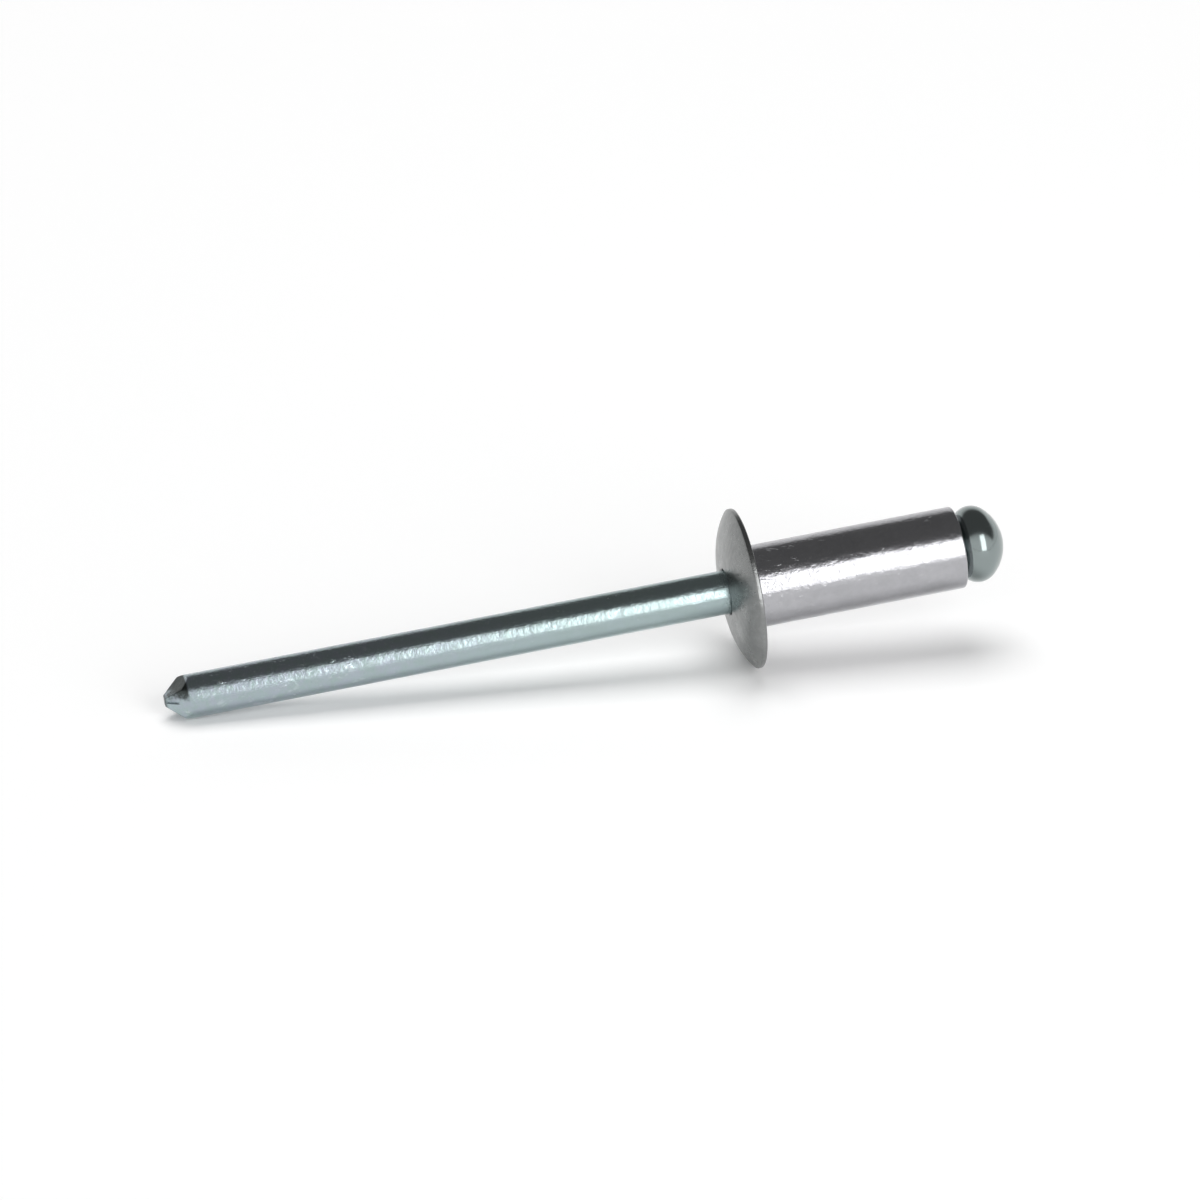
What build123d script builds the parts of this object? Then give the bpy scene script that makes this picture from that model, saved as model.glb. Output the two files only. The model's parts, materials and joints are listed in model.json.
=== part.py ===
from build123d import *

import os
from math import atan2, cos, degrees, radians, sin, sqrt, tan

# A 4 x 10 mm dome-head blind rivet as it lies on a flat surface: on the rim of its head and on the
# point end of its mandrel. Sizes are in millimetres and angles in degrees.
# Outlines are drawn as (distance along the rivet's axis, radius). The distance is 0 at the seat, the
# flat underside of the head, and grows towards the mandrel's bulb.

# Rivet body: one cold-headed aluminium blank, hollow from end to end
body_diameter = 4.0
body_length = 10.5  # from the seat to the blind end
body_end_round = 0.1
head_diameter = 7.8
head_height = 1.1  # seat to the top of the dome, as if the bore were closed
head_crown_radius = 17.0  # curvature of the nearly flat middle of the dome
head_crown_diameter = 4.4  # where that middle gives way to the rounder shoulder
head_rim_height = 0.23  # plain land around the edge of the head
head_rim_round = 0.08
head_fillet = 0.15  # between the sleeve and the seat
bore_mouth_round = 0.1

# Mandrel: one headed steel pin
shank_diameter = 2.12
shank_clearance = 0.06  # radial, between the shank and the bore
shank_reach = 27.5  # from the top of the dome to the end of the point
bulb_diameter = 3.74
bulb_length = 2.23  # beyond the blind end
bulb_side_radius = 0.93
bulb_seat_width = 0.18  # flat ring around the bore, where the bulb bears on the blind end
neck_diameter = 1.55  # the waist where the mandrel breaks
neck_depth = 1.1  # from the blind end to the near side of the waist
neck_length = 0.3
neck_flank = 0.35  # length of the taper on each side of the waist
point_flat = 0.42  # width of the square end that the cutting tool leaves
point_half_angle = 35.0
point_facets = 4

body_radius = body_diameter / 2
head_radius = head_diameter / 2
shank_radius = shank_diameter / 2
bore_radius = shank_radius + shank_clearance
point_end = -(head_height + shank_reach)
point_length = (shank_radius - point_flat / 2) / tan(radians(point_half_angle))

# The tilt at which the rim of the head and the shoulder of the point both touch the ground
rest_span = -head_rim_height - (point_end + point_length)
rest_tilt = atan2(head_radius - shank_radius, rest_span)
seat_height = head_radius * cos(rest_tilt) + head_rim_height * sin(rest_tilt)
middle = (point_end + body_length + bulb_length) / 2

# x runs along the tilted rivet, from point to bulb, and y is its radius
lying = Plane(
    origin=(-middle * cos(rest_tilt), 0, seat_height),
    x_dir=(cos(rest_tilt), 0, sin(rest_tilt)),
    z_dir=(0, -1, 0),
)
rivet_axis = Axis(lying.origin, lying.x_dir)


def crown_height(radius):
    """Height over the seat of the dome's nearly flat middle, at a radius from the axis."""
    return head_height - head_crown_radius + sqrt(head_crown_radius**2 - radius**2)


# Rivet body
crown_edge_radius = head_crown_diameter / 2
bore_mouth = (-crown_height(bore_radius), bore_radius)
crown_edge = (-crown_height(crown_edge_radius), crown_edge_radius)
rim_top = (-head_rim_height, head_radius)
rim_bottom = (0, head_radius)
seat_root = (0, body_radius)
blind_end_edge = (body_length, body_radius)
bore_exit = (body_length, bore_radius)

with BuildPart() as rivet_body:
    with BuildSketch(lying) as body_outline:
        with BuildLine():
            crown = RadiusArc(bore_mouth, crown_edge, head_crown_radius)
            shoulder = TangentArc(crown @ 1, rim_top, tangent=crown % 1)
            Polyline(rim_top, rim_bottom, seat_root, blind_end_edge, bore_exit, bore_mouth)
        make_face()
        fillet(body_outline.vertices().group_by(Axis.Y)[-1], head_rim_round)
        for corner, size in (
            (seat_root, head_fillet),
            (blind_end_edge, body_end_round),
            (bore_mouth, bore_mouth_round),
        ):
            fillet(body_outline.vertices().sort_by_distance(corner)[0], size)
    revolve(axis=rivet_axis)
rivet_body.part.label = "rivet_body"

# Mandrel: the bulb's side is an arc that starts at its flat seat, and its end is a flatter arc,
# centred on the axis, that meets the side smoothly
bulb_seat_radius = bore_radius + bulb_seat_width
side_centre_radius = bulb_diameter / 2 - bulb_side_radius
side_centre = sqrt(bulb_side_radius**2 - (bulb_seat_radius - side_centre_radius) ** 2)
beyond_side = bulb_length - side_centre
end_radius = (beyond_side**2 + side_centre_radius**2 - bulb_side_radius**2) / (
    2 * (beyond_side - bulb_side_radius)
)
end_centre = bulb_length - end_radius
end_angle = atan2(side_centre_radius, side_centre - end_centre)

bulb_root = (body_length, shank_radius)
bulb_seat_edge = (body_length, bulb_seat_radius)
bulb_widest = (body_length + side_centre, bulb_diameter / 2)
bulb_shoulder = (
    body_length + end_centre + end_radius * cos(end_angle),
    end_radius * sin(end_angle),
)
bulb_end = (body_length + bulb_length, 0)
neck_near = body_length - neck_depth
neck_far = neck_near - neck_length

# One facet's waste: a wedge that clears the shank's outside
wedge_height = shank_diameter
wedge_length = (wedge_height - point_flat / 2) / tan(radians(point_half_angle))

with BuildPart() as mandrel:
    with BuildSketch(lying):
        with BuildLine():
            side = ThreePointArc(bulb_seat_edge, bulb_widest, bulb_shoulder)
            TangentArc(side @ 1, bulb_end, tangent=side % 1)
            Polyline(
                bulb_end,
                (point_end, 0),
                (point_end, shank_radius),
                (neck_far - neck_flank, shank_radius),
                (neck_far, neck_diameter / 2),
                (neck_near, neck_diameter / 2),
                (neck_near + neck_flank, shank_radius),
                bulb_root,
                bulb_seat_edge,
            )
        make_face()
    revolve(axis=rivet_axis)
    for facet in range(point_facets):
        facet_turn = Rotation(facet * 360 / point_facets, 0, 0)
        with BuildSketch(Plane(lying.location * facet_turn)):
            with BuildLine():
                Polyline(
                    (point_end, point_flat / 2),
                    (point_end + wedge_length, wedge_height),
                    (point_end, wedge_height),
                    close=True,
                )
            make_face()
        extrude(amount=shank_diameter, both=True, mode=Mode.SUBTRACT)
mandrel.part.label = "mandrel"

os.makedirs("parts", exist_ok=True)
export_step(rivet_body.part, "parts/rivet_body.step")
export_step(mandrel.part, "parts/mandrel.step")

print(f"rest tilt {degrees(rest_tilt):.2f} deg, seat centre {tuple(lying.origin)}")
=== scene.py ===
"""A dome-head blind rivet, at rest on a plain pale floor in soft studio light.

The rivet has two pieces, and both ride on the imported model's one body:

* the rivet body, a hollow aluminium sleeve with its dome head, and
* the mandrel, a zinc-plated steel pin with a bulb at one end and a cut point at the other.

Both are surfaces of revolution about the rivet's own axis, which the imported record's mounts give.
Distances along that axis start at the seat, the flat underside of the head, and grow towards the
bulb. Sizes are in millimetres and are turned into metres as a mesh is made.
"""

import json
import logging
import math
from dataclasses import dataclass
from enum import Enum
from typing import Any, Optional

import bpy
import numpy as np
from mathutils import Matrix, Vector

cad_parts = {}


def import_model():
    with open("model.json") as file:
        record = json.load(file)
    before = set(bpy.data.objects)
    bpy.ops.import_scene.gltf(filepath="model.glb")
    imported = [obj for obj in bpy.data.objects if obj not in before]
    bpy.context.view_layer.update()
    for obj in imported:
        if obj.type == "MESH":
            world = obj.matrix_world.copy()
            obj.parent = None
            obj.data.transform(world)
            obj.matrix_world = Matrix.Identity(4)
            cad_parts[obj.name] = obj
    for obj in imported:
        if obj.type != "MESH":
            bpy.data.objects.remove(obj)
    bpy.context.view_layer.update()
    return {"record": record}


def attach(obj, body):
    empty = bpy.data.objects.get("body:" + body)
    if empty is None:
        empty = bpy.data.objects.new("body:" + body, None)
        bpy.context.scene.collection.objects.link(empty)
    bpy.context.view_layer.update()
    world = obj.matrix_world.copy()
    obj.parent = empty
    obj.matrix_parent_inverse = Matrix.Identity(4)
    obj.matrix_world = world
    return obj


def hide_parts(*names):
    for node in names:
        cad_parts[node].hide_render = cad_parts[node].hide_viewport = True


LOG = logging.getLogger("rivet")
MM = 0.001
Colour = tuple[float, float, float]


# ---------------------------------------------------------------- the rivet's own frame


@dataclass(frozen=True)
class RivetAxis:
    """The rivet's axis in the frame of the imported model, in metres.

    Attributes:
        seat: centre of the seat, where distances along the axis start.
        along: unit vector towards the bulb.
        upward: unit vector square to the axis that points up.
        sideways: unit vector square to both.
    """

    seat: np.ndarray
    along: np.ndarray
    upward: np.ndarray
    sideways: np.ndarray

    @classmethod
    def from_record(cls, record: dict[str, Any]) -> "RivetAxis":
        """Works the axis out of two mounts: the sleeve's pin, which is on it, and the seat.

        Args:
            record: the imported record.

        Returns:
            The axis. Its seat is the foot of the line from the seat's mount, square to the axis.
        """
        mounts = {mount["name"]: mount for mount in record["mounts"]}
        on_axis = np.array(mounts["body_shank"]["pos_m"], float)
        along = np.array(mounts["body_shank"]["axis"], float)
        along /= np.linalg.norm(along)
        on_seat = np.array(mounts["head_seat"]["pos_m"], float)
        seat = on_axis + along * np.dot(on_seat - on_axis, along)
        sideways = np.cross(along, (0.0, 0.0, 1.0))
        sideways /= np.linalg.norm(sideways)
        return cls(seat, along, np.cross(sideways, along), sideways)

    @property
    def tilt(self) -> float:
        """Angle between the axis and the floor, in radians."""
        return math.asin(self.along[2])

    def place(self, distance: np.ndarray, radius: np.ndarray, turn: np.ndarray) -> np.ndarray:
        """Turns cylinder coordinates about the axis into points.

        A point is the seat, plus the distance along the axis, plus the radius times the upward
        vector's cosine share and the sideways vector's sine share.

        Args:
            distance: millimetres from the seat, towards the bulb.
            radius: millimetres from the axis.
            turn: radians from the upward vector towards the sideways one.

        Returns:
            Points in metres, in an array with one more dimension of size 3.
        """
        distance, radius, turn = np.broadcast_arrays(distance, radius, turn)
        return (
            self.seat
            + MM * distance[..., None] * self.along
            + MM * (radius * np.cos(turn))[..., None] * self.upward
            + MM * (radius * np.sin(turn))[..., None] * self.sideways
        )


# ---------------------------------------------------------------- outlines and surfaces


def run(start: tuple[float, float], stop: tuple[float, float], steps: int) -> np.ndarray:
    """A straight run of an outline, without its last point.

    Args:
        start: distance and radius at its start.
        stop: distance and radius at its end.
        steps: how many points it has.

    Returns:
        Points evenly spaced from start, as rows of distance and radius.
    """
    share = np.arange(steps)[:, None] / steps
    return np.array(start) * (1 - share) + np.array(stop) * share


def arc(
    centre: tuple[float, float], radius: float, start: float, stop: float, steps: int
) -> np.ndarray:
    """A round stretch of an outline, without its last point.

    Args:
        centre: distance and radius of its centre.
        radius: its own radius.
        start: angle of its start, in radians from the direction of the bulb.
        stop: angle of its end.
        steps: how many points it has.

    Returns:
        The centre plus the radius times the cosine and sine of evenly spaced angles.
    """
    angle = start + (stop - start) * np.arange(steps) / steps
    return np.array(centre) + radius * np.stack([np.cos(angle), np.sin(angle)], axis=-1)


def corner(
    before: np.ndarray, point: tuple[float, float], after: np.ndarray, radius: float, steps: int
) -> np.ndarray:
    """A corner of an outline, rounded by an arc that is tangent to both its sides.

    The arc starts at the radius divided by the tangent of half the corner's angle before the
    corner, and its centre is on the corner's bisector.

    Args:
        before: a point on the side that leads to the corner.
        point: the sharp corner.
        after: a point on the side that leaves it.
        radius: the arc's radius.
        steps: how many points the arc has.

    Returns:
        Points from the arc's start to its end, both included.
    """
    sharp = np.array(point, float)
    inward = (np.array(before) - sharp) / np.linalg.norm(np.array(before) - sharp)
    onward = (np.array(after) - sharp) / np.linalg.norm(np.array(after) - sharp)
    half = 0.5 * math.acos(float(np.clip(inward @ onward, -1.0, 1.0)))
    bisector = (inward + onward) / np.linalg.norm(inward + onward)
    centre = sharp + bisector * radius / math.sin(half)
    start = sharp + inward * radius / math.tan(half) - centre
    stop = sharp + onward * radius / math.tan(half) - centre
    first = math.atan2(start[1], start[0])
    sweep = math.remainder(math.atan2(stop[1], stop[0]) - first, math.tau)
    angle = first + sweep * np.linspace(0.0, 1.0, steps)
    return centre + radius * np.stack([np.cos(angle), np.sin(angle)], axis=-1)


def surface_mesh(
    name: str,
    rows: np.ndarray,
    start_pole: Optional[np.ndarray] = None,
    end_pole: Optional[np.ndarray] = None,
) -> bpy.types.Mesh:
    """Makes a closed mesh of rings of points.

    Every ring is closed on itself. With two poles, the first and last rings are closed by fans of
    triangles. Without poles, the last ring joins the first, as in a tube with a wall.

    Args:
        name: name of the mesh.
        rows: points, as rings, points in a ring, and their three coordinates.
        start_pole: the point that closes the first ring.
        end_pole: the point that closes the last ring.

    Returns:
        The mesh, shaded smooth, with its faces turned outwards.
    """
    rings, around = rows.shape[:2]
    index = np.arange(rings * around).reshape(rings, around)
    beside = np.roll(index, -1, axis=1)
    if start_pole is None:
        above, above_beside = np.roll(index, -1, axis=0), np.roll(beside, -1, axis=0)
        lower, lower_beside = index, beside
    else:
        above, above_beside = index[1:], beside[1:]
        lower, lower_beside = index[:-1], beside[:-1]
    quads = np.stack([lower, lower_beside, above_beside, above], axis=-1).reshape(-1, 4)
    points = rows.reshape(-1, 3)
    faces = quads.tolist()
    if start_pole is not None and end_pole is not None:
        points = np.vstack([points, start_pole, end_pole])
        first, last = np.full(around, len(points) - 2), np.full(around, len(points) - 1)
        faces += np.stack([first, beside[0], index[0]], axis=-1).tolist()
        faces += np.stack([last, index[-1], beside[-1]], axis=-1).tolist()
    mesh = bpy.data.meshes.new(name)
    mesh.from_pydata(points.tolist(), [], faces)
    mesh.validate()
    mesh.shade_smooth()
    mesh.update()
    return mesh


def soft_minimum(first: np.ndarray, second: np.ndarray, blend: float) -> np.ndarray:
    """The lesser of two values, with the step between them rounded off.

    It is the mean of the two, less half the root of their difference squared plus the blend
    squared.

    Args:
        first: one value.
        second: the other.
        blend: how far from their meeting the rounding reaches.

    Returns:
        The rounded minimum.
    """
    return 0.5 * (first + second - np.sqrt((first - second) ** 2 + blend**2))


# ---------------------------------------------------------------- shader graphs


class Graph:
    """Adds nodes to one node tree and joins them, so that a finish reads as a list of steps."""

    def __init__(self, tree: bpy.types.NodeTree) -> None:
        """Keeps the tree that the nodes go into."""
        self.tree = tree

    def node(self, kind: str, inputs: Optional[dict[Any, Any]] = None, **settings: Any) -> Any:
        """Adds a node.

        Args:
            kind: the node's type.
            inputs: a value or an output socket for each input, by name or number.
            settings: the node's own properties.

        Returns:
            The node.
        """
        made = self.tree.nodes.new(kind)
        for key, value in settings.items():
            setattr(made, key, value)
        for key, value in (inputs or {}).items():
            self.put(made.inputs[key], value)
        return made

    def put(self, socket: Any, value: Any) -> None:
        """Links an output to the socket, or sets the socket's own value."""
        if isinstance(value, bpy.types.NodeSocket):
            self.tree.links.new(value, socket)
        else:
            socket.default_value = value

    def math(self, operation: str, first: Any, second: Any = 0.0, clamp: bool = False) -> Any:
        """Joins two values by a sum, product or other operation.

        Args:
            operation: the Math node's operation.
            first: the first value or socket.
            second: the second.
            clamp: whether the result is kept between 0 and 1.

        Returns:
            The result's socket.
        """
        return self.node(
            "ShaderNodeMath", {0: first, 1: second}, operation=operation, use_clamp=clamp
        ).outputs[0]

    def fade(
        self, value: Any, low: float, high: float, start: float = 0.0, stop: float = 1.0
    ) -> Any:
        """Carries a value smoothly from one level to another.

        Args:
            value: what is read.
            low: where the step begins.
            high: where it ends.
            start: the result below low.
            stop: the result above high.

        Returns:
            The result's socket.
        """
        inputs = {"Value": value, 1: low, 2: high, 3: start, 4: stop}
        return self.node("ShaderNodeMapRange", inputs, interpolation_type="SMOOTHSTEP").outputs[0]

    def mix(self, share: Any, first: Any, second: Any) -> Any:
        """Mixes two colours.

        Args:
            share: how much of the second there is.
            first: the first colour.
            second: the second.

        Returns:
            The mixed colour's socket.
        """
        made = self.node("ShaderNodeMix", data_type="RGBA")
        colours = [socket for socket in made.inputs if socket.type == "RGBA"]
        self.put(made.inputs[0], share)
        for socket, value in zip(colours, (first, second)):
            self.put(socket, (*value, 1.0) if isinstance(value, tuple) else value)
        return next(socket for socket in made.outputs if socket.type == "RGBA")

    def noise(self, vector: Any, scale: Any, detail: float = 2.0, rough: float = 0.5) -> Any:
        """Cloudy noise between 0 and 1.

        Args:
            vector: where it is read.
            scale: how many clouds there are to a unit.
            detail: how many finer layers it has.
            rough: how strong they are.

        Returns:
            The value's socket.
        """
        inputs = {"Vector": vector, "Scale": scale, "Detail": detail, "Roughness": rough}
        return self.node("ShaderNodeTexNoise", inputs, noise_dimensions="3D").outputs[0]

    def stretch(self, vector: Any, turn: tuple[float, float, float], scale: Colour) -> Any:
        """Turns a position and then stretches it.

        Args:
            vector: the position.
            turn: the turn about each axis, in radians.
            scale: the factor along each axis after the turn.

        Returns:
            The new position's socket.
        """
        turned = self.node("ShaderNodeMapping", {"Vector": vector, "Rotation": turn}).outputs[0]
        return self.node("ShaderNodeMapping", {"Vector": turned, "Scale": scale}).outputs[0]


class SurfaceEffect(Enum):
    """The effects that both metals share, each a shader node group built once."""

    DRAWN_LINES = "drawn_lines"
    SCUFFS = "scuffs"
    SCRATCHES = "scratches"
    CLOUDING = "clouding"


@dataclass(frozen=True)
class SocketSpec:
    """One socket of a node group: its name, its kind and its default number."""

    name: str
    kind: str = "NodeSocketFloat"
    default: Optional[float] = None


class EffectLibrary:
    """Builds the shared node groups once, and places them in materials."""

    POSITION = SocketSpec("Position", "NodeSocketVector")

    def __init__(self) -> None:
        """Builds every group."""
        self.groups = {
            SurfaceEffect.DRAWN_LINES: self.drawn_lines(),
            SurfaceEffect.SCUFFS: self.scuffs(),
            SurfaceEffect.SCRATCHES: self.scratches(),
            SurfaceEffect.CLOUDING: self.clouding(),
        }

    @staticmethod
    def begin(effect: SurfaceEffect, inputs: list[SocketSpec]) -> tuple[Graph, Any, Any]:
        """Starts a group with its sockets and one value as its output.

        Args:
            effect: which effect it is.
            inputs: its input sockets.

        Returns:
            The graph, the group's inputs as sockets, and its output node.
        """
        tree = bpy.data.node_groups.new(effect.value, "ShaderNodeTree")
        for spec in inputs:
            socket = tree.interface.new_socket(spec.name, in_out="INPUT", socket_type=spec.kind)
            if spec.default is not None:
                socket.default_value = spec.default
        tree.interface.new_socket("Value", in_out="OUTPUT", socket_type="NodeSocketFloat")
        graph = Graph(tree)
        return graph, graph.node("NodeGroupInput").outputs, graph.node("NodeGroupOutput")

    def drawn_lines(self) -> bpy.types.NodeTree:
        """Fine lines along the axis, as a die leaves on wire: noise stretched along it.

        Returns:
            The group, which gives a value from 0 to 1.
        """
        inputs = [self.POSITION, SocketSpec("Fineness", default=12.0)]
        graph, given, out = self.begin(SurfaceEffect.DRAWN_LINES, inputs)
        along = graph.stretch(given["Position"], (0.0, 0.0, 0.0), (0.03, 1.0, 1.0))
        lines = graph.noise(along, given["Fineness"], 3.0, 0.6)
        graph.put(out.inputs["Value"], graph.fade(lines, 0.3, 0.7))
        return graph.tree

    def scuffs(self) -> bpy.types.NodeTree:
        """Patches of small flecks: fine noise over a threshold that broad noise moves.

        Returns:
            The group, which gives 1 in a fleck and 0 elsewhere.
        """
        inputs = [
            self.POSITION,
            SocketSpec("Fineness", default=5.0),
            SocketSpec("Cover", default=0.5),
        ]
        graph, given, out = self.begin(SurfaceEffect.SCUFFS, inputs)
        drawn_out = graph.stretch(given["Position"], (0.0, 0.0, 0.35), (0.45, 1.0, 1.0))
        fleck = graph.noise(drawn_out, given["Fineness"], 3.0, 0.62)
        patch = graph.noise(given["Position"], 0.9, 2.0, 0.5)
        level = graph.math("ADD", fleck, graph.math("MULTIPLY", patch, 0.5))
        edge = graph.math("SUBTRACT", 1.12, graph.math("MULTIPLY", given["Cover"], 0.5))
        above = graph.math("MULTIPLY", graph.math("SUBTRACT", level, edge), 14.0, clamp=True)
        graph.put(out.inputs["Value"], above)
        return graph.tree

    def scratches(self) -> bpy.types.NodeTree:
        """Hair scratches in three directions: the crests of noise that is stretched into hairs.

        Returns:
            The group, which gives 1 in a scratch and 0 elsewhere.
        """
        inputs = [
            self.POSITION,
            SocketSpec("Fineness", default=16.0),
            SocketSpec("Cover", default=0.5),
        ]
        graph, given, out = self.begin(SurfaceEffect.SCRATCHES, inputs)
        edge = graph.math("SUBTRACT", 0.86, graph.math("MULTIPLY", given["Cover"], 0.3))
        found: Any = 0.0
        for turn in ((0.2, 0.1, 0.25), (0.9, 0.35, -0.6), (0.5, -0.3, 1.2)):
            hair = graph.stretch(given["Position"], turn, (0.06, 1.0, 1.0))
            crest = graph.noise(hair, given["Fineness"], 1.0, 0.4)
            line = graph.math("MULTIPLY", graph.math("SUBTRACT", crest, edge), 18.0, clamp=True)
            found = graph.math("MAXIMUM", found, line)
        graph.put(out.inputs["Value"], found)
        return graph.tree

    def clouding(self) -> bpy.types.NodeTree:
        """Soft clouds, as on a plated or tumbled skin: two sizes of noise, added.

        Returns:
            The group, which gives a value from 0 to 1 around one half.
        """
        inputs = [self.POSITION, SocketSpec("Fineness", default=1.0)]
        graph, given, out = self.begin(SurfaceEffect.CLOUDING, inputs)
        broad = graph.noise(given["Position"], given["Fineness"], 2.0, 0.5)
        small = graph.noise(
            given["Position"], graph.math("MULTIPLY", given["Fineness"], 4.3), 3.0, 0.55
        )
        both = graph.math(
            "ADD", graph.math("MULTIPLY", broad, 0.6), graph.math("MULTIPLY", small, 0.4)
        )
        graph.put(out.inputs["Value"], graph.fade(both, 0.33, 0.67))
        return graph.tree

    def place(self, graph: Graph, effect: SurfaceEffect, position: Any, **values: Any) -> Any:
        """Places a group in a material.

        Args:
            graph: the material's graph.
            effect: which effect.
            position: the socket with the position in the rivet's own frame, in millimetres.
            values: the group's other inputs, by name.

        Returns:
            The socket of the group's value.
        """
        made = graph.node("ShaderNodeGroup", node_tree=self.groups[effect])
        graph.put(made.inputs["Position"], position)
        for name, value in values.items():
            graph.put(made.inputs[name], value)
        return made.outputs["Value"]


@dataclass(frozen=True)
class MetalFinish:
    """What both metals' materials have in common."""

    name: str
    colour: Colour
    roughness: float

    def begin(self, axis: RivetAxis) -> tuple[bpy.types.Material, Graph, Any, Any]:
        """Starts a metal material.

        Args:
            axis: the rivet's axis.

        Returns:
            The material, its graph, its shader node, and the socket that gives the position in
            the rivet's own frame: in millimetres, with x along the axis from the seat.
        """
        material = bpy.data.materials.new(self.name)
        material.use_nodes = True
        material.node_tree.nodes.clear()
        graph = Graph(material.node_tree)
        shader = graph.node("ShaderNodeBsdfPrincipled", {"Metallic": 1.0})
        graph.node("ShaderNodeOutputMaterial", {"Surface": shader.outputs[0]})
        turned_seat = Matrix.Rotation(axis.tilt, 3, "Y") @ Vector(axis.seat / MM)
        place = {
            "Vector": graph.node("ShaderNodeTexCoord").outputs["Object"],
            "Location": tuple(-turned_seat),
            "Rotation": (0.0, axis.tilt, 0.0),
            "Scale": (1 / MM, 1 / MM, 1 / MM),
        }
        position = graph.node("ShaderNodeMapping", place, vector_type="POINT").outputs[0]
        return material, graph, shader, position

    @staticmethod
    def bump(graph: Graph, shader: Any, layers: list[tuple[Any, float]]) -> None:
        """Adds relief to the shader's normal.

        Args:
            graph: the material's graph.
            shader: its shader node.
            layers: a height from 0 to 1 and its depth in millimetres, for each layer.
        """
        normal: Any = None
        for height, depth in layers:
            inputs = {"Height": height, "Strength": 1.0, "Distance": depth * MM}
            if normal is not None:
                inputs["Normal"] = normal
            normal = graph.node("ShaderNodeBump", inputs).outputs[0]
        graph.put(shader.inputs["Normal"], normal)


@dataclass(frozen=True)
class AluminiumFinish(MetalFinish):
    """Bright aluminium on the sleeve and satin, tumbled aluminium on the head."""

    head_colour: Colour = (0.275, 0.282, 0.28)
    head_roughness: float = 0.25
    scuffed: Colour = (0.72, 0.73, 0.75)

    def make(self, axis: RivetAxis, effects: EffectLibrary) -> bpy.types.Material:
        """Makes the material.

        Args:
            axis: the rivet's axis.
            effects: the shared node groups.

        Returns:
            The material.
        """
        material, graph, shader, position = self.begin(axis)
        along = graph.node("ShaderNodeSeparateXYZ", {0: position}).outputs[0]
        head = graph.fade(along, -0.05, 0.03, 1.0, 0.0)
        near_head = graph.fade(along, 0.2, 5.5, 1.0, 0.0)
        clouds = effects.place(graph, SurfaceEffect.CLOUDING, position, Fineness=0.9)
        lines = effects.place(graph, SurfaceEffect.DRAWN_LINES, position, Fineness=9.0)
        cover = graph.math("ADD", graph.math("MULTIPLY", near_head, 0.3), 0.3)
        scuffs = effects.place(graph, SurfaceEffect.SCUFFS, position, Fineness=4.5, Cover=cover)
        hairs = effects.place(
            graph, SurfaceEffect.SCRATCHES, position, Fineness=7.0, Cover=0.45
        )
        sleeve = graph.mix(clouds, self.colour, tuple(0.9 * part for part in self.colour))
        dull = graph.mix(clouds, self.head_colour, tuple(0.82 * part for part in self.head_colour))
        skin = graph.mix(head, sleeve, dull)
        smooth_head = graph.math("SUBTRACT", 1.0, graph.math("MULTIPLY", head, 0.85))
        worn = graph.math("MULTIPLY", graph.math("MAXIMUM", scuffs, hairs), 0.2)
        worn = graph.math("MULTIPLY", worn, smooth_head)
        graph.put(shader.inputs["Base Color"], graph.mix(worn, skin, self.scuffed))
        rough = graph.math("ADD", graph.math("MULTIPLY", clouds, 0.05), self.roughness)
        rough = graph.math("ADD", rough, graph.math("MULTIPLY", lines, 0.04))
        rough = graph.math(
            "ADD", rough, graph.math("MULTIPLY", head, self.head_roughness - self.roughness)
        )
        rough = graph.math("ADD", rough, graph.math("MULTIPLY", worn, 0.25), clamp=True)
        graph.put(shader.inputs["Roughness"], rough)
        self.bump(
            graph,
            shader,
            [
                (clouds, 0.010),
                (lines, 0.0012),
                (graph.math("MULTIPLY", scuffs, smooth_head), 0.006),
                (graph.math("MULTIPLY", hairs, smooth_head), 0.003),
            ],
        )
        return material


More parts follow.
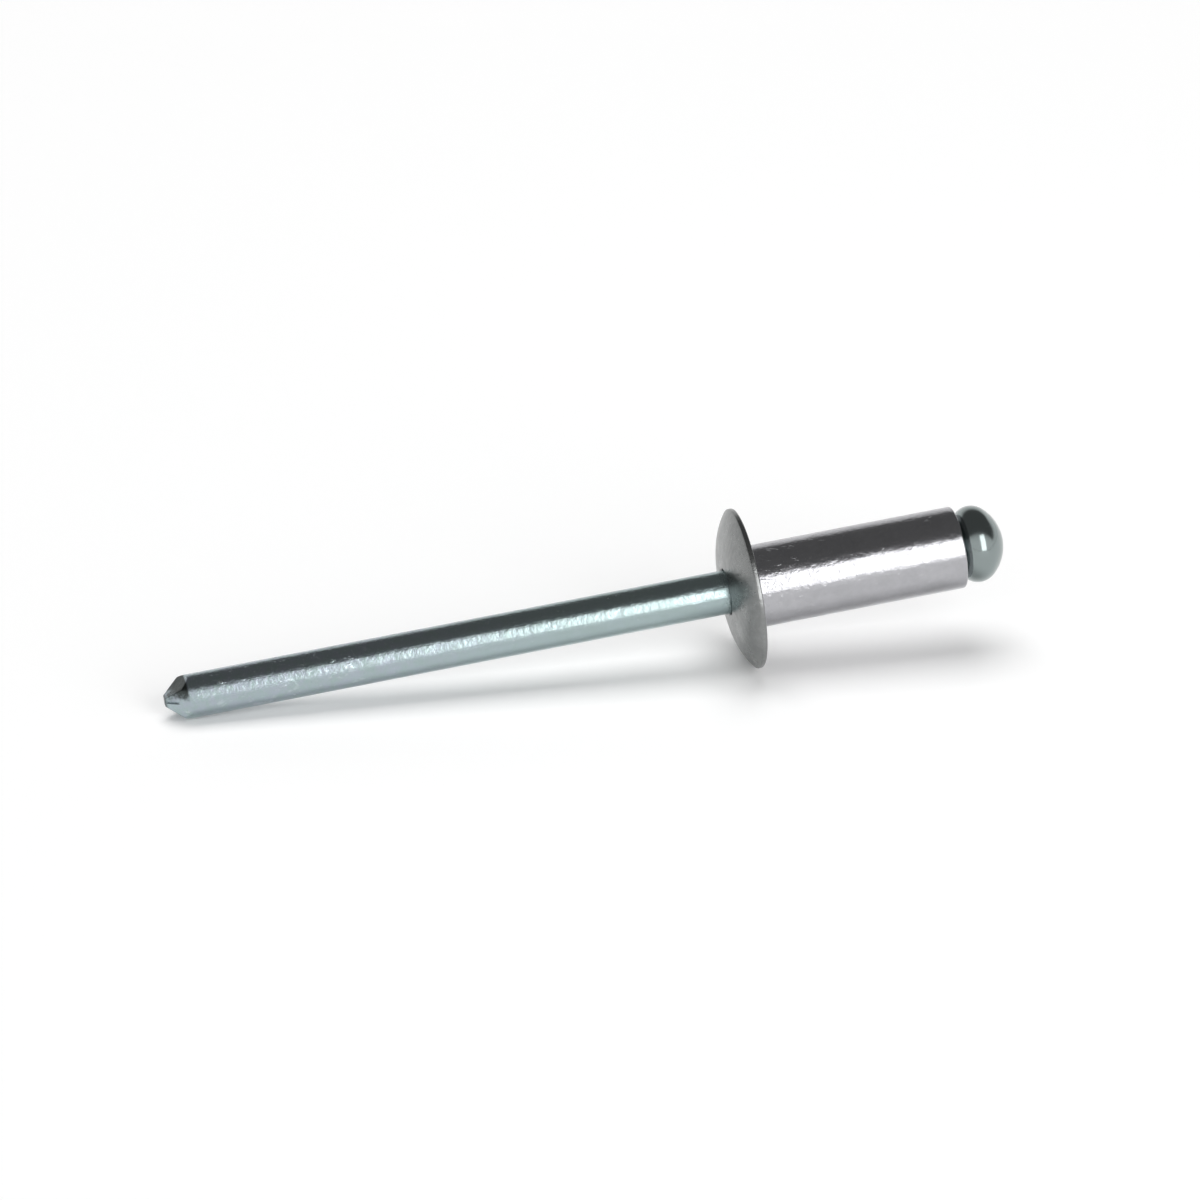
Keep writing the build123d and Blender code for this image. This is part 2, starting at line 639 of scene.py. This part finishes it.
@dataclass(frozen=True)
class ZincFinish(MetalFinish):
    """Bright zinc plate on steel wire, scuffed along the stem and mirror-smooth on the bulb."""

    cool_tint: Colour = (0.42, 0.44, 0.53)
    green_tint: Colour = (0.34, 0.43, 0.41)
    scuffed: Colour = (0.74, 0.79, 0.80)
    bulb_colour: Colour = (0.26, 0.295, 0.292)
    bulb_from: float = 10.4
    point_end: float = -28.6
    shoulder_at: float = -27.45
    # Dark colour of the sheared blunt end, and also of the painted dark reflection on the cut
    # point's upper facets.
    cut_end_and_painted_reflection: Colour = (0.06, 0.07, 0.068)
    scuffs_from: float = -21.0
    scuffs_to: float = -8.0

    def make(self, axis: RivetAxis, effects: EffectLibrary) -> bpy.types.Material:
        """Makes the material.

        Args:
            axis: the rivet's axis.
            effects: the shared node groups.

        Returns:
            The material.
        """
        material, graph, shader, position = self.begin(axis)
        place = graph.node("ShaderNodeSeparateXYZ", {0: position}).outputs
        along = place[0]
        point = graph.fade(along, self.shoulder_at - 0.1, self.shoulder_at, 1.0, 0.0)
        blunt = graph.fade(along, self.point_end, self.point_end + 0.15, 0.8, 0.0)
        # Painted reflection: the upper facets of the cut point are painted dark, as the dark band
        # overhead shows in the stem, with a noisy ragged edge. The blunt end's dark is its real
        # sheared face.
        painted_reflection_edge_noise = effects.place(graph, SurfaceEffect.CLOUDING, position, Fineness=3.0)
        height = graph.math("ADD", place[2], graph.math("MULTIPLY", painted_reflection_edge_noise, 0.3))
        cut_end_and_painted_reflection = graph.math("MULTIPLY", point, graph.fade(height, 0.15, 0.75))
        cut_end_and_painted_reflection = graph.math("MAXIMUM", cut_end_and_painted_reflection, blunt)
        bulb = graph.fade(along, self.bulb_from, self.bulb_from + 0.2)
        stem_end = graph.fade(along, self.scuffs_from, self.scuffs_to, 1.0, 0.12)
        clouds = effects.place(graph, SurfaceEffect.CLOUDING, position, Fineness=1.1)
        patches = effects.place(graph, SurfaceEffect.CLOUDING, position, Fineness=2.3)
        lines = effects.place(graph, SurfaceEffect.DRAWN_LINES, position, Fineness=14.0)
        cover = graph.math("ADD", graph.math("MULTIPLY", stem_end, 0.5), 0.0)
        scuffs = effects.place(graph, SurfaceEffect.SCUFFS, position, Fineness=3.6, Cover=cover)
        hairs = effects.place(
            graph, SurfaceEffect.SCRATCHES, position, Fineness=9.0, Cover=0.42
        )
        plate = graph.mix(graph.math("MULTIPLY", clouds, 0.6), self.colour, self.green_tint)
        tint = graph.math("MULTIPLY", graph.math("MULTIPLY", patches, stem_end), 0.6)
        plate = graph.mix(tint, plate, self.cool_tint)
        plate = graph.mix(graph.math("MULTIPLY", bulb, 0.9), plate, self.bulb_colour)
        worn = graph.math("MULTIPLY", graph.math("MAXIMUM", scuffs, hairs), 0.22)
        stem_only = graph.math("SUBTRACT", 1.0, graph.math("MULTIPLY", bulb, 0.85))
        worn = graph.math("MULTIPLY", worn, stem_only)
        skin = graph.mix(worn, plate, self.scuffed)
        # The base colour takes the cut end's dark and the painted dark reflection on the point's
        # upper facets.
        graph.put(shader.inputs["Base Color"], graph.mix(cut_end_and_painted_reflection, skin, self.cut_end_and_painted_reflection))
        rough = graph.math("ADD", graph.math("MULTIPLY", clouds, 0.06), self.roughness)
        rough = graph.math("ADD", rough, graph.math("MULTIPLY", worn, 0.2))
        rough = graph.math("ADD", rough, graph.math("MULTIPLY", cut_end_and_painted_reflection, 0.12))
        rough = graph.math("MULTIPLY", rough, graph.fade(bulb, 0.0, 1.0, 1.0, 0.75), clamp=True)
        graph.put(shader.inputs["Roughness"], rough)
        uneven = graph.math("MULTIPLY", clouds, stem_only)
        drawn = graph.math("MULTIPLY", lines, stem_only)
        flecked = graph.math("MULTIPLY", scuffs, stem_only)
        self.bump(graph, shader, [(uneven, 0.009), (drawn, 0.002), (flecked, 0.006)])
        return material


# ---------------------------------------------------------------- the two pieces


@dataclass
class RivetPiece:
    """What both pieces share: the rivet's axis, how many points a ring has, and their fitting."""

    axis: RivetAxis
    node: str
    slot: str
    around: int = 256

    def turns(self) -> np.ndarray:
        """Angles of a ring's points, evenly spaced, as one row."""
        return math.tau * np.arange(self.around)[None, :] / self.around

    def fit(self, mesh: bpy.types.Mesh, material: bpy.types.Material) -> bpy.types.Object:
        """Puts a finished mesh in place of its plain node.

        Args:
            mesh: the piece's mesh.
            material: its finish.

        Returns:
            The piece.
        """
        piece = bpy.data.objects.new(mesh.name, mesh)
        bpy.context.scene.collection.objects.link(piece)
        mesh.materials.append(material)
        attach(piece, "root")
        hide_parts(self.node)
        LOG.info("%s: %d faces, in place of %s", piece.name, len(mesh.polygons), self.node)
        return piece


@dataclass
class RivetBody(RivetPiece):
    """The sleeve and its dome head, hollow from end to end. Sizes are in millimetres."""

    sleeve_radius: float = 2.0
    sleeve_length: float = 10.5
    head_radius: float = 3.8985
    head_height: float = 1.1
    crown_radius: float = 17.0
    crown_edge: float = 2.2
    rim_height: float = 0.23
    rim_round: float = 0.08
    head_fillet: float = 0.15
    end_round: float = 0.1
    bore_radius: float = 1.12
    bore_round: float = 0.1

    def crown_height(self, radius: np.ndarray) -> np.ndarray:
        """Height over the seat of the dome's middle: a large circle centred on the axis."""
        return self.head_height - self.crown_radius + np.sqrt(self.crown_radius**2 - radius**2)

    def shoulder(self, steps: int) -> np.ndarray:
        """The dome's shoulder, from the crown's edge to the rim.

        It is an arc tangent to the crown. With d the chord from the crown's edge to the rim, and
        n the crown's inward normal, the arc's radius is d squared over twice d along n.

        Args:
            steps: how many points it has.

        Returns:
            Its points, both ends included.
        """
        start = np.array([-float(self.crown_height(np.array(self.crown_edge))), self.crown_edge])
        stop = np.array([-self.rim_height, self.head_radius])
        lean = math.asin(self.crown_edge / self.crown_radius)
        normal = np.array([math.cos(lean), -math.sin(lean)])
        chord = stop - start
        radius = float(chord @ chord) / (2 * float(chord @ normal))
        centre = start + normal * radius
        first = math.atan2(*(start - centre)[::-1])
        last = math.atan2(*(stop - centre)[::-1])
        angle = first + math.remainder(last - first, math.tau) * np.linspace(0.0, 1.0, steps)
        return centre + radius * np.stack([np.cos(angle), np.sin(angle)], axis=-1)

    def outline(self) -> np.ndarray:
        """The wall's section, once around: dome, rim, seat, sleeve, blind end and bore.

        Returns:
            Rows of distance and radius. The last point joins the first.
        """
        crown_radii = np.linspace(self.bore_radius, self.crown_edge, 24)
        crown = np.stack([-self.crown_height(crown_radii), crown_radii], axis=-1)
        shoulder = self.shoulder(40)
        rim_top = (-self.rim_height, self.head_radius)
        rim_bottom = (0.0, self.head_radius)
        root = (0.0, self.sleeve_radius)
        end = (self.sleeve_length, self.sleeve_radius)
        exit_edge = (self.sleeve_length, self.bore_radius)
        mouth = tuple(crown[0])
        mouth_round = corner(exit_edge, mouth, crown[3], self.bore_round, 8)
        rim_first = corner(shoulder[-3], rim_top, rim_bottom, self.rim_round, 8)
        rim_second = corner(rim_top, rim_bottom, root, self.rim_round, 8)
        fillet = corner(rim_bottom, root, end, self.head_fillet, 10)
        end_round = corner(root, end, exit_edge, self.end_round, 8)
        clear_crown = crown[crown[:, 1] > mouth_round[-1][1] + 0.01]
        clear_shoulder = shoulder[shoulder[:, 1] < rim_first[0][1] - 0.01]
        return np.vstack(
            [
                mouth_round,
                clear_crown[:-1],
                clear_shoulder,
                rim_first,
                rim_second,
                run(tuple(rim_second[-1]), tuple(fillet[0]), 12)[1:],
                fillet,
                run(tuple(fillet[-1]), tuple(end_round[0]), 60)[1:],
                end_round,
                run(tuple(end_round[-1]), exit_edge, 6)[1:],
                run(exit_edge, tuple(mouth_round[0]), 30),
            ]
        )

    def build(self, finish: AluminiumFinish, effects: EffectLibrary) -> bpy.types.Object:
        """Builds the piece: its section turned about the axis.

        Args:
            finish: its finish.
            effects: the shared node groups.

        Returns:
            The piece.
        """
        section = self.outline()
        rows = self.axis.place(section[:, :1], section[:, 1:], self.turns())
        mesh = surface_mesh("aluminium_body", rows)
        return self.fit(mesh, finish.make(self.axis, effects))


@dataclass
class Mandrel(RivetPiece):
    """The plated pin: cut point, stem, breaking neck and bulb. Sizes are in millimetres."""

    stem_radius: float = 1.06
    point_end: float = -28.6
    point_flat: float = 0.21
    point_half_angle: float = math.radians(35.0)
    point_rounding: float = 0.035
    facet_squareness: float = 18.0
    neck_radius: float = 0.775
    neck_near: float = 9.4
    neck_length: float = 0.3
    neck_flank: float = 0.35
    bulb_from: float = 10.5
    bulb_radius: float = 1.87
    bulb_length: float = 2.23
    bulb_side_radius: float = 0.93
    bulb_seat_radius: float = 1.3
    nick_turn: float = math.radians(86.0)
    nick_depth: float = 0.09
    nick_width: float = 0.05

    def facet_factor(self, turn: np.ndarray) -> np.ndarray:
        """Radius of a square bar over its half-width, with its corners a little rounded.

        It is one over the p-norm of the turn's cosine and sine, with a large p.

        Args:
            turn: angles about the axis.

        Returns:
            The factor for each angle.
        """
        power = self.facet_squareness
        norm = (np.abs(np.cos(turn)) ** power + np.abs(np.sin(turn)) ** power) ** (1 / power)
        return 1 / norm

    def point_rows(self, turn: np.ndarray) -> tuple[np.ndarray, np.ndarray]:
        """The cut point: a four-sided cone, blunt at its end, that meets the round stem.

        The radius is the rounded minimum of the stem's radius and the cone's half-width times
        the facet factor. A short nick runs along the facet that faces sideways.

        Args:
            turn: angles of a ring's points, as one row.

        Returns:
            Distances and radii of the rings, from the blunt end on.
        """
        factor = self.facet_factor(turn)
        end_share = np.linspace(0.25, 1.0, 5)[:, None]
        reach = (self.stem_radius - self.point_flat) / math.tan(self.point_half_angle) + 0.2
        onward = reach * np.linspace(0.0, 1.0, 90)[1:, None]
        width = self.point_flat + onward * math.tan(self.point_half_angle)
        stem = np.full_like(width * factor, self.stem_radius)
        radius = soft_minimum(stem, width * factor, self.point_rounding)
        across = radius * np.sin(turn - self.nick_turn)
        facing = np.cos(turn - self.nick_turn) > 0
        length = np.exp(-(((onward - 0.35) / 0.3) ** 4))
        nick = self.nick_depth * length * np.exp(-((across / self.nick_width) ** 2)) * facing
        flat_radius = self.point_flat * factor * end_share
        distance = np.vstack([np.zeros_like(end_share), onward]) + self.point_end
        return distance, np.vstack([flat_radius, radius - nick])

    def bulb_outline(self) -> np.ndarray:
        """The bulb: a flat seat, an arc around its side, and a flatter arc over its end.

        The end's arc is centred on the axis and tangent to the side's arc, so the distance of
        the two centres is the difference of the two radii.

        Returns:
            Rows of distance and radius, up to just before the pole.
        """
        side = self.bulb_side_radius
        side_height = self.bulb_radius - side
        side_centre = math.sqrt(side**2 - (self.bulb_seat_radius - side_height) ** 2)
        beyond = self.bulb_length - side_centre
        end = (beyond**2 + side_height**2 - side**2) / (2 * (beyond - side))
        end_centre = self.bulb_length - end
        meeting = math.atan2(side_height, side_centre - end_centre)
        seat_angle = math.atan2(self.bulb_seat_radius - side_height, -side_centre)
        root = (self.bulb_from, self.stem_radius)
        return np.vstack(
            [
                run(root, (self.bulb_from, self.bulb_seat_radius), 4),
                arc((self.bulb_from + side_centre, side_height), side, seat_angle, meeting, 48),
                arc((self.bulb_from + end_centre, 0.0), end, meeting, 0.0, 40),
            ]
        )

    def outline(self) -> np.ndarray:
        """The round part of the pin: stem, breaking neck and bulb.

        Returns:
            Rows of distance and radius, from the stem's start behind the point.
        """
        reach = (self.stem_radius - self.point_flat) / math.tan(self.point_half_angle) + 0.2
        start = (self.point_end + reach, self.stem_radius)
        near, far = self.neck_near, self.neck_near - self.neck_length
        neck_start = (far - self.neck_flank, self.stem_radius)
        neck_stop = (near + self.neck_flank, self.stem_radius)
        return np.vstack(
            [
                run(start, neck_start, 120)[1:],
                run(neck_start, (far, self.neck_radius), 4),
                run((far, self.neck_radius), (near, self.neck_radius), 3),
                run((near, self.neck_radius), neck_stop, 4),
                run(neck_stop, (self.bulb_from, self.stem_radius), 4),
                self.bulb_outline(),
            ]
        )

    def build(self, finish: ZincFinish, effects: EffectLibrary) -> bpy.types.Object:
        """Builds the piece: the point's rings, then the round outline turned about the axis.

        Args:
            finish: its finish.
            effects: the shared node groups.

        Returns:
            The piece.
        """
        turn = self.turns()
        distance, radius = self.point_rows(turn)
        section = self.outline()
        rows = np.concatenate(
            [
                self.axis.place(distance, radius, turn),
                self.axis.place(section[:, :1], section[:, 1:], turn),
            ]
        )
        poles = self.axis.place(
            np.array([self.point_end, self.bulb_from + self.bulb_length]), 0.0, 0.0
        )
        mesh = surface_mesh("zinc_mandrel", rows, poles[0], poles[1])
        return self.fit(mesh, finish.make(self.axis, effects))


# ---------------------------------------------------------------- stage, light and camera


@dataclass(frozen=True)
class SoftLamp:
    """A rectangular soft lamp. Lengths are in metres and the power is in watts."""

    name: str
    place: Colour
    aim: Colour
    size: tuple[float, float]
    power: float
    seen_in_metal: bool = True

    def build(self) -> None:
        """Adds the lamp, which the camera doesn't see, turned towards its aim."""
        light = bpy.data.lights.new(self.name, "AREA")
        light.shape = "RECTANGLE"
        light.size, light.size_y = self.size
        light.energy = self.power
        lamp = bpy.data.objects.new(self.name, light)
        lamp.location = self.place
        facing = Vector(self.aim) - Vector(self.place)
        lamp.rotation_euler = facing.to_track_quat("-Z", "Y").to_euler()
        lamp.visible_camera = False
        lamp.visible_glossy = self.seen_in_metal
        bpy.context.scene.collection.objects.link(lamp)


@dataclass(frozen=True)
class Studio:
    """Plain floor, soft light and the camera. Lengths are in metres and angles in degrees."""

    floor_size: float = 6.0
    floor_colour: Colour = (0.95, 0.95, 0.95)
    floor_lift: float = 0.08
    camera_azimuth: float = -12.87
    camera_elevation: float = 25.02
    camera_distance: float = 0.35
    camera_aim: tuple[float, float] = (0.00063, 0.0037)
    view_width: float = 0.05768
    band_stretch: Colour = (0.15, 1.0, 1.0)
    band_lean: float = 12.0
    band_levels: tuple[tuple[float, float], ...] = (
        (0.26, 1.0),
        (0.47, 0.88),
        (0.62, 0.62),
        (0.69, 0.24),
        (0.75, 0.125),
    )
    soft_box: SoftLamp = SoftLamp(
        "soft_box", (0.085, -0.2, 0.105), (0.03, 0.0, 0.01), (0.12, 0.19), 0.185
    )
    top_lamp: SoftLamp = SoftLamp(
        "top_lamp", (0.0, 0.12, 0.5), (0.0, 0.0, 0.0), (0.4, 0.4), 1.75, seen_in_metal=False
    )

    def build(self) -> None:
        """Builds the floor, the lamps, the surroundings and the camera."""
        self.floor()
        self.soft_box.build()
        self.top_lamp.build()
        self.surroundings()
        self.camera()
        bpy.context.scene.view_settings.view_transform = "Standard"

    def floor(self) -> None:
        """Lays a plain pale floor at the lowest point of the rivet."""
        half = self.floor_size / 2
        mesh = bpy.data.meshes.new("floor")
        points = [(-half, -half, 0.0), (half, -half, 0.0), (half, half, 0.0), (-half, half, 0.0)]
        mesh.from_pydata(points, [], [(0, 1, 2, 3)])
        material = bpy.data.materials.new("pale_floor")
        material.use_nodes = True
        material.node_tree.nodes.clear()
        graph = Graph(material.node_tree)
        diffuse = graph.node("ShaderNodeBsdfDiffuse", {"Color": (*self.floor_colour, 1.0)})
        path = graph.node("ShaderNodeLightPath").outputs
        seen = graph.math("ADD", path["Is Camera Ray"], path["Is Glossy Ray"])
        seen = graph.math("ADD", seen, path["Is Transmission Ray"], clamp=True)
        lift = graph.math("MULTIPLY", seen, self.floor_lift)
        glow = graph.node("ShaderNodeEmission", {"Strength": lift})
        both = graph.node("ShaderNodeAddShader", {0: diffuse.outputs[0], 1: glow.outputs[0]})
        graph.node("ShaderNodeOutputMaterial", {"Surface": both.outputs[0]})
        mesh.materials.append(material)
        floor = bpy.data.objects.new("floor", mesh)
        bpy.context.scene.collection.objects.link(floor)

    def surroundings(self) -> None:
        """Fills the surroundings with light: bright around, with a dark band overhead.

        The level depends on the angle from a direction a little behind the zenith. The ray is
        first narrowed from side to side, which draws the dark part out into a band.
        """
        world = bpy.data.worlds.new("studio")
        bpy.context.scene.world = world
        world.use_nodes = True
        world.node_tree.nodes.clear()
        graph = Graph(world.node_tree)
        lean = math.radians(self.band_lean)
        zenith = (0.0, math.sin(lean), math.cos(lean))
        ray = graph.node("ShaderNodeTexCoord").outputs["Generated"]
        narrowed = graph.node(
            "ShaderNodeVectorMath", {0: ray, 1: self.band_stretch}, operation="MULTIPLY"
        ).outputs[0]
        across = graph.node(
            "ShaderNodeVectorMath", {0: narrowed}, operation="NORMALIZE"
        ).outputs[0]
        nearness = graph.node(
            "ShaderNodeVectorMath", {0: across, 1: zenith}, operation="DOT_PRODUCT"
        ).outputs["Value"]
        ramp = graph.node("ShaderNodeValToRGB", {0: nearness})
        for number, (place, level) in enumerate(self.band_levels):
            element = (
                ramp.color_ramp.elements[number]
                if number < 2
                else ramp.color_ramp.elements.new(place)
            )
            element.position = place
            element.color = (level, level, level, 1.0)
        glow = graph.node("ShaderNodeBackground", {"Color": ramp.outputs[0], "Strength": 1.0})
        graph.node("ShaderNodeOutputWorld", {"Surface": glow.outputs[0]})

    def camera(self) -> None:
        """Places the camera."""
        azimuth = math.radians(self.camera_azimuth)
        elevation = math.radians(self.camera_elevation)
        back = Vector(
            (
                math.sin(azimuth) * math.cos(elevation),
                -math.cos(azimuth) * math.cos(elevation),
                math.sin(elevation),
            )
        )
        right = Vector((math.cos(azimuth), math.sin(azimuth), 0.0))
        upward = back.cross(right)
        data = bpy.data.cameras.new("camera")
        data.sensor_width = 36.0
        data.lens = data.sensor_width * self.camera_distance / self.view_width
        data.clip_start, data.clip_end = 0.01, 20.0
        camera = bpy.data.objects.new("camera", data)
        aim = right * self.camera_aim[0] + upward * self.camera_aim[1]
        camera.location = aim + back * self.camera_distance
        camera.rotation_mode = "QUATERNION"
        camera.rotation_quaternion = Matrix((right, upward, back)).transposed().to_quaternion()
        bpy.context.scene.collection.objects.link(camera)
        bpy.context.scene.camera = camera


def main() -> None:
    """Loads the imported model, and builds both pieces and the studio."""
    logging.basicConfig(level=logging.INFO, format="%(name)s: %(message)s")
    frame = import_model()
    axis = RivetAxis.from_record(frame["record"])
    effects = EffectLibrary()
    RivetBody(axis, "rivet_body", "body").build(
        AluminiumFinish("bright_aluminium", (0.455, 0.455, 0.475), 0.15), effects
    )
    Mandrel(axis, "mandrel", "mandrel").build(
        ZincFinish("zinc_plate", (0.37, 0.455, 0.465), 0.18), effects
    )
    Studio().build()


if __name__ == "__main__":
    main()
